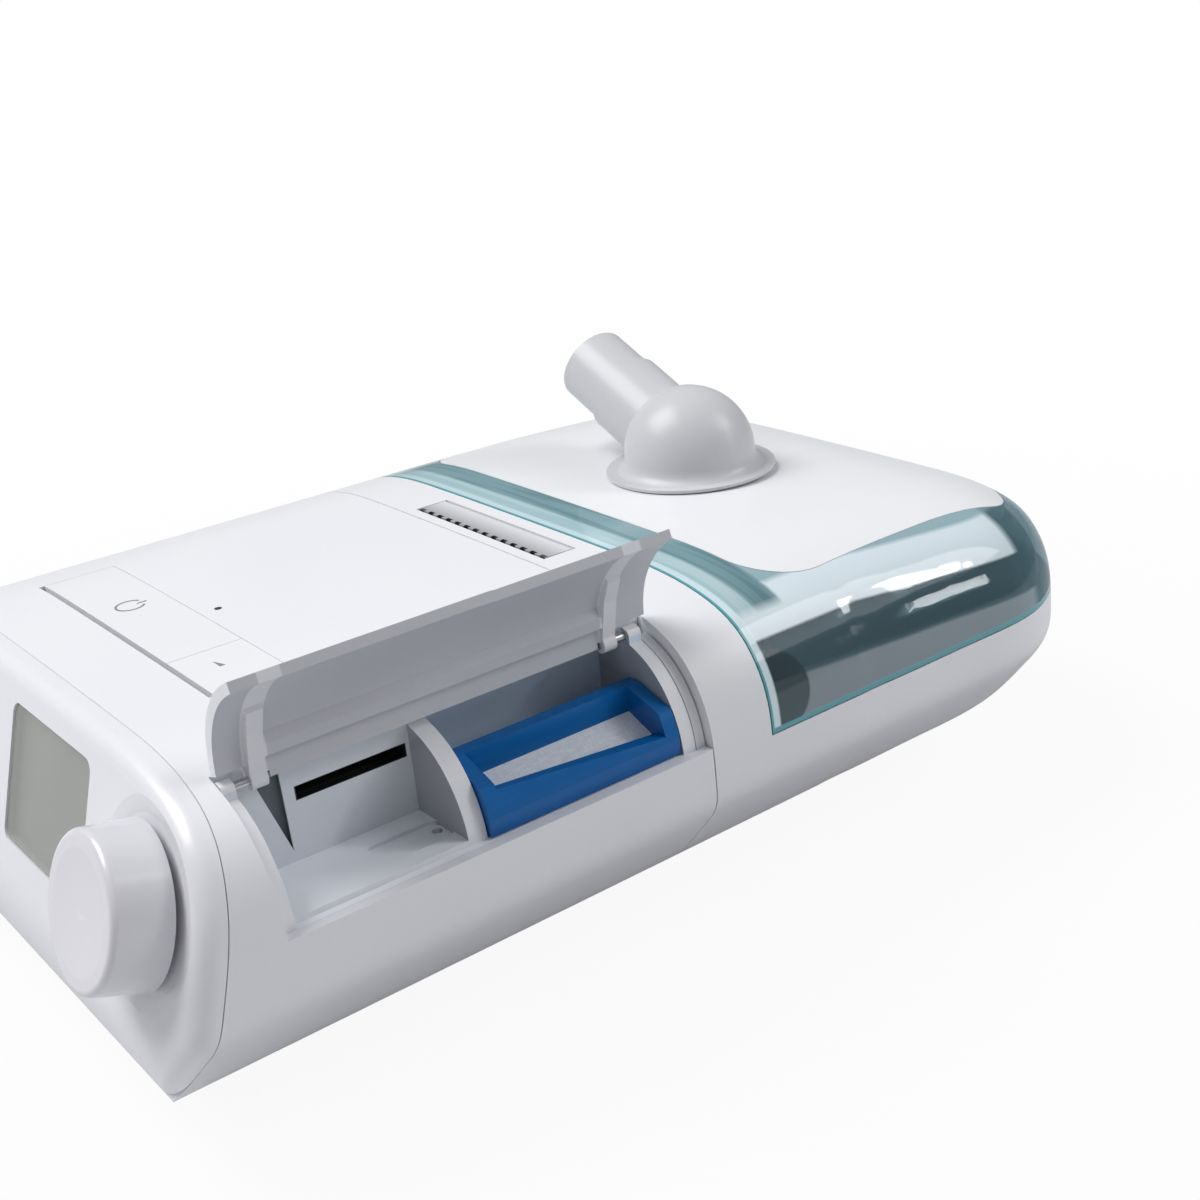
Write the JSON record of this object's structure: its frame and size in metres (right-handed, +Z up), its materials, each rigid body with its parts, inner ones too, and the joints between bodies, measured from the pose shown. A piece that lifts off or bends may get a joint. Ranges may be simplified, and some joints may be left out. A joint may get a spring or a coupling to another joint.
{
  "type": "bilevel pap machine",
  "caption": "Bedside breathing-therapy machine with docked heated humidifier, side door over filter and card slot, dial, keys and swivel outlet.",
  "frame": {"origin": "centre of the whole object's footprint, on the surface that the feet stand on", "axes": "+Z up, -Y towards the user at the display and dial, +X towards the filter door"},
  "size_m": [0.1932, 0.2966, 0.118],
  "materials": {
    "case_white": "satin",
    "bezel_white": "satin",
    "panel_grey": "fine texture",
    "dial_white": "gloss",
    "lens": "clear",
    "lcd": "matt",
    "rubber_dark": "matt",
    "rubber_grey": "matt",
    "steel": "satin",
    "aluminium": "satin",
    "blue": "gloss",
    "media": "fibrous",
    "board": "solder mask",
    "foam": "open cell",
    "dark_plastic": "matt",
    "black_hole": "matt",
    "teal_clear": "clear tint",
    "tank_clear": "smoked",
    "elbow_white": "satin"
  },
  "bodies": {
    "machine": {"upper_case": "case_white", "bottom_plate": "case_white", "case_screws": "steel", "therapy_feet": "rubber_grey", "front_panel": "bezel_white", "lcd_lens": "lens", "lcd_module": "lcd", "dial_encoder": "dark_plastic", "key_board": "board", "bay_insert": "panel_grey", "card_reader": "black_hole", "door_hinge_pins": "steel", "blower_housing": "dark_plastic", "blower_motor": "aluminium", "blower_cover": "dark_plastic", "intake_muffler": "foam", "main_board": "board", "power_inlet": "black_hole", "outlet_seal": "rubber_grey", "base_shell": "case_white", "humidifier_feet": "rubber_grey", "dock_connector": "dark_plastic", "air_manifold": "case_white", "tank_inlet_boot": "rubber_dark", "heater_carrier": "dark_plastic", "heater_plate": "aluminium", "tank_tub": "tank_clear", "tank_base_plate": "steel", "tank_seal": "rubber_grey", "tank_lid": "tank_clear", "outlet_gasket": "rubber_dark", "lid_hinge_pins": "steel", "latch_pins": "steel"},
    "dial_shaft": {"dial_shaft": "steel"},
    "dial": {"control_dial": "dial_white"},
    "therapy_key": {"therapy_button": "case_white"},
    "ramp_key": {"ramp_button": "case_white"},
    "door": {"side_door": "case_white"},
    "filter": {"filter_frame": "blue", "filter_media": "media"},
    "rotor": {"rotor_shaft": "steel", "impeller": "dark_plastic"},
    "lid": {"lid_canopy": "teal_clear", "lid_cover": "case_white", "outlet_collar": "case_white"},
    "latch": {"lid_latch": "case_white"},
    "elbow": {"outlet_elbow": "elbow_white"}
  },
  "joints": [
    {"name": "dial_press", "type": "slide", "parent": "machine", "child": "dial_shaft", "axis": [0, 0.957, -0.29], "range_m": [0, 0.0008], "stiffness_N_per_m": 4000, "springref_m": -0.0003},
    {"name": "dial_turn", "type": "hinge", "parent": "dial_shaft", "child": "dial", "pos_m": [0.071, -0.1312, 0.06], "axis": [0, -0.957, 0.29], "continuous": true},
    {"name": "therapy_button_press", "type": "hinge", "parent": "machine", "child": "therapy_key", "pos_m": [0, -0.081, 0.0819], "axis": [1, 0, 0], "range_deg": [0, 2.5], "stiffness_Nm_per_rad": 0.6, "springref_deg": -1.72},
    {"name": "ramp_button_press", "type": "hinge", "parent": "machine", "child": "ramp_key", "pos_m": [0, -0.081, 0.0819], "axis": [1, 0, 0], "range_deg": [0, 2.5], "stiffness_Nm_per_rad": 0.4, "springref_deg": -1.72},
    {"name": "side_door_hinge", "type": "hinge", "parent": "machine", "child": "door", "pos_m": [0.0749, 0, 0.0788], "axis": [0, -1, 0], "range_deg": [-110, 0]},
    {"name": "filter_slide", "type": "slide", "parent": "machine", "child": "filter", "axis": [1, 0, 0], "range_m": [0, 0.024]},
    {"name": "lid_hinge", "type": "hinge", "parent": "machine", "child": "lid", "pos_m": [0, 0.1464, 0.0517], "axis": [-1, 0, 0], "range_deg": [0, 95]},
    {"name": "latch_rock", "type": "hinge", "parent": "machine", "child": "latch", "pos_m": [0, 0.0022, 0.081], "axis": [-1, 0, 0], "range_deg": [0, 12], "stiffness_Nm_per_rad": 0.05, "springref_deg": -2.86},
    {"name": "elbow_swivel", "type": "hinge", "parent": "lid", "child": "elbow", "pos_m": [0.003, 0.0663, 0.084], "axis": [0, 0, 1], "continuous": true},
    {"name": "impeller_spin", "type": "hinge", "parent": "machine", "child": "rotor", "pos_m": [-0.01, -0.062, 0.02], "axis": [0, 0, 1], "continuous": true}
  ]
}
